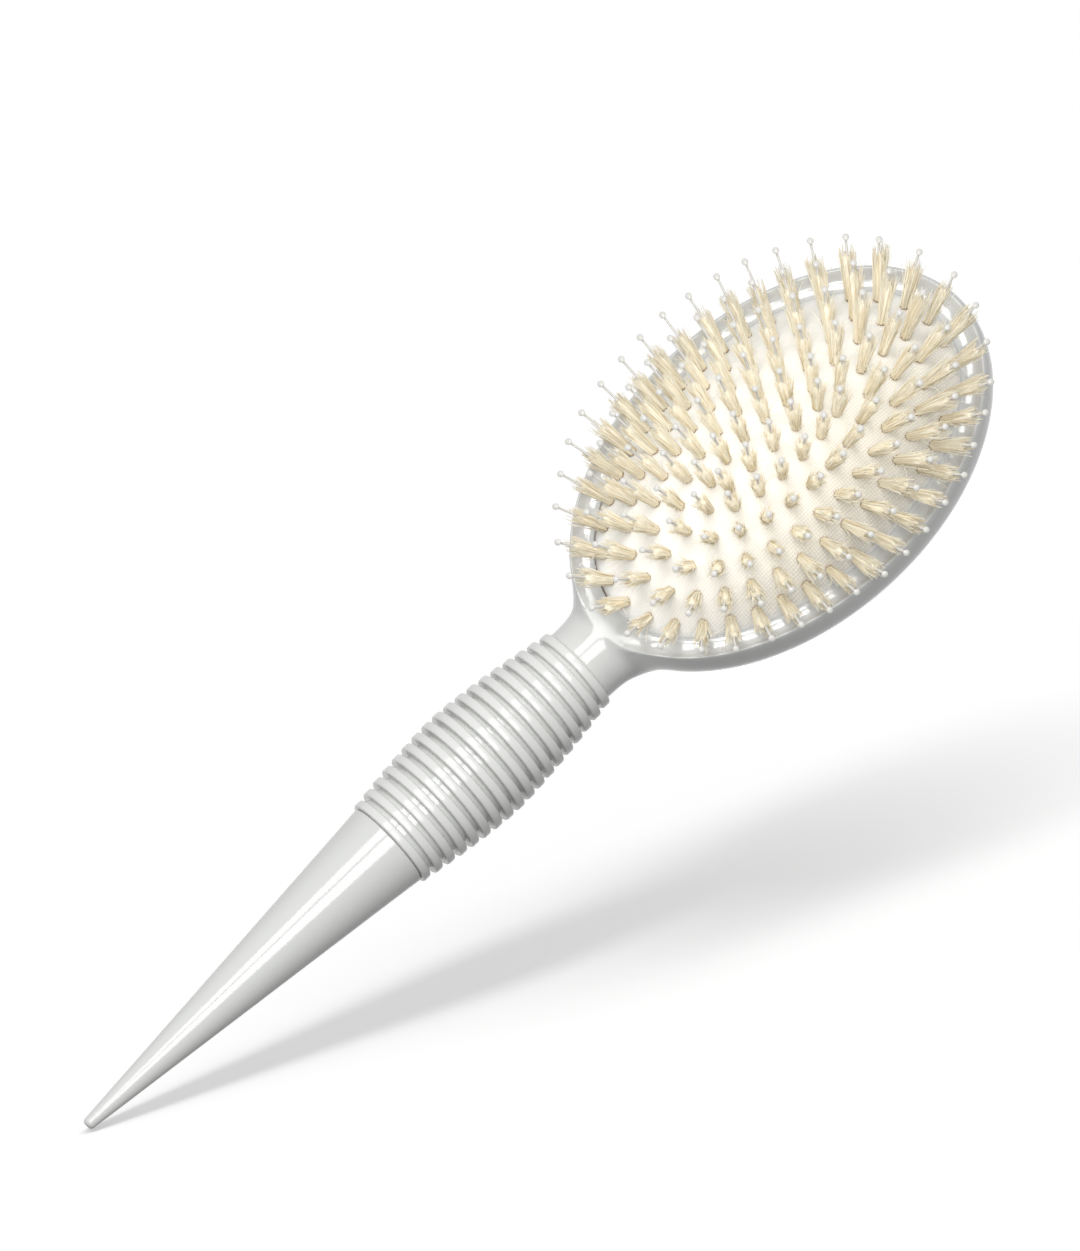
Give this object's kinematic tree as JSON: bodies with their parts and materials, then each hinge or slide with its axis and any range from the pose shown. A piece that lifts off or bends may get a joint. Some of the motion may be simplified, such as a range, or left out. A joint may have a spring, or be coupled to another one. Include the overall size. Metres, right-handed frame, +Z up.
{
  "type": "cushion hairbrush",
  "caption": "Oval air-cushion hairbrush with boar bristle tufts and ball-tip pins, a ringed barrel grip and a long pointed tail.",
  "frame": {"origin": "centre of the brush's bounding box, on the plane it rests on", "axes": "+X along the brush, towards the head; +Z up, out of the bristles; +Y completes the frame"},
  "size_m": [0.2415, 0.071, 0.0494],
  "materials": {
    "body": "gloss",
    "ring": "satin",
    "cushion": "matt",
    "bristle": "natural bristle set in cloth"
  },
  "bodies": {
    "handle": {"head_and_neck": "body", "cushion": "cushion", "grip_core": "body", "grip_ring_01": "ring", "grip_ring_02": "ring", "grip_ring_03": "ring", "grip_ring_04": "ring", "grip_ring_05": "ring", "grip_ring_06": "ring", "grip_ring_07": "ring", "grip_ring_08": "ring", "grip_ring_09": "ring", "grip_ring_10": "ring", "grip_ring_11": "ring", "grip_ring_12": "ring", "grip_ring_13": "ring", "grip_ring_14": "ring", "grip_ring_15": "ring", "grip_ring_16": "ring", "grip_ring_17": "ring", "grip_ring_18": "ring", "tail_cone": "body"},
    "tuft_oval_1": {"bristle_oval_1": "bristle"},
    "tuft_oval_2": {"bristle_oval_2": "bristle"},
    "tuft_oval_3": {"bristle_oval_3": "bristle"},
    "tuft_oval_4": {"bristle_oval_4": "bristle"},
    "tuft_oval_5": {"bristle_oval_5": "bristle"},
    "tuft_oval_6": {"bristle_oval_6": "bristle"}
  },
  "joints": [
    {"name": "cushion_press", "type": "slide", "parent": "handle", "child": "tuft_oval_1", "axis": [0, 0, 1], "range_m": [-0.004, 0], "stiffness_N_per_m": 600, "deforming": ["cushion"]},
    {"name": "oval_2_press", "type": "slide", "parent": "handle", "child": "tuft_oval_2", "axis": [0, 0, 1], "range_m": [-0.0039, 0], "stiffness_N_per_m": 600},
    {"name": "oval_3_press", "type": "slide", "parent": "handle", "child": "tuft_oval_3", "axis": [0, 0, 1], "range_m": [-0.0035, 0], "stiffness_N_per_m": 600},
    {"name": "oval_4_press", "type": "slide", "parent": "handle", "child": "tuft_oval_4", "axis": [0, 0, 1], "range_m": [-0.00282, 0], "stiffness_N_per_m": 600},
    {"name": "oval_5_press", "type": "slide", "parent": "handle", "child": "tuft_oval_5", "axis": [0, 0, 1], "range_m": [-0.0019, 0], "stiffness_N_per_m": 600},
    {"name": "oval_6_press", "type": "slide", "parent": "handle", "child": "tuft_oval_6", "axis": [0, 0, 1], "range_m": [-0.0007, 0], "stiffness_N_per_m": 600}
  ],
  "couplings": [
    {"joint": "oval_2_press", "follows": "cushion_press", "ratio": 0.95},
    {"joint": "oval_3_press", "follows": "cushion_press", "ratio": 0.85},
    {"joint": "oval_4_press", "follows": "cushion_press", "ratio": 0.68},
    {"joint": "oval_5_press", "follows": "cushion_press", "ratio": 0.45},
    {"joint": "oval_6_press", "follows": "cushion_press", "ratio": 0.15}
  ]
}
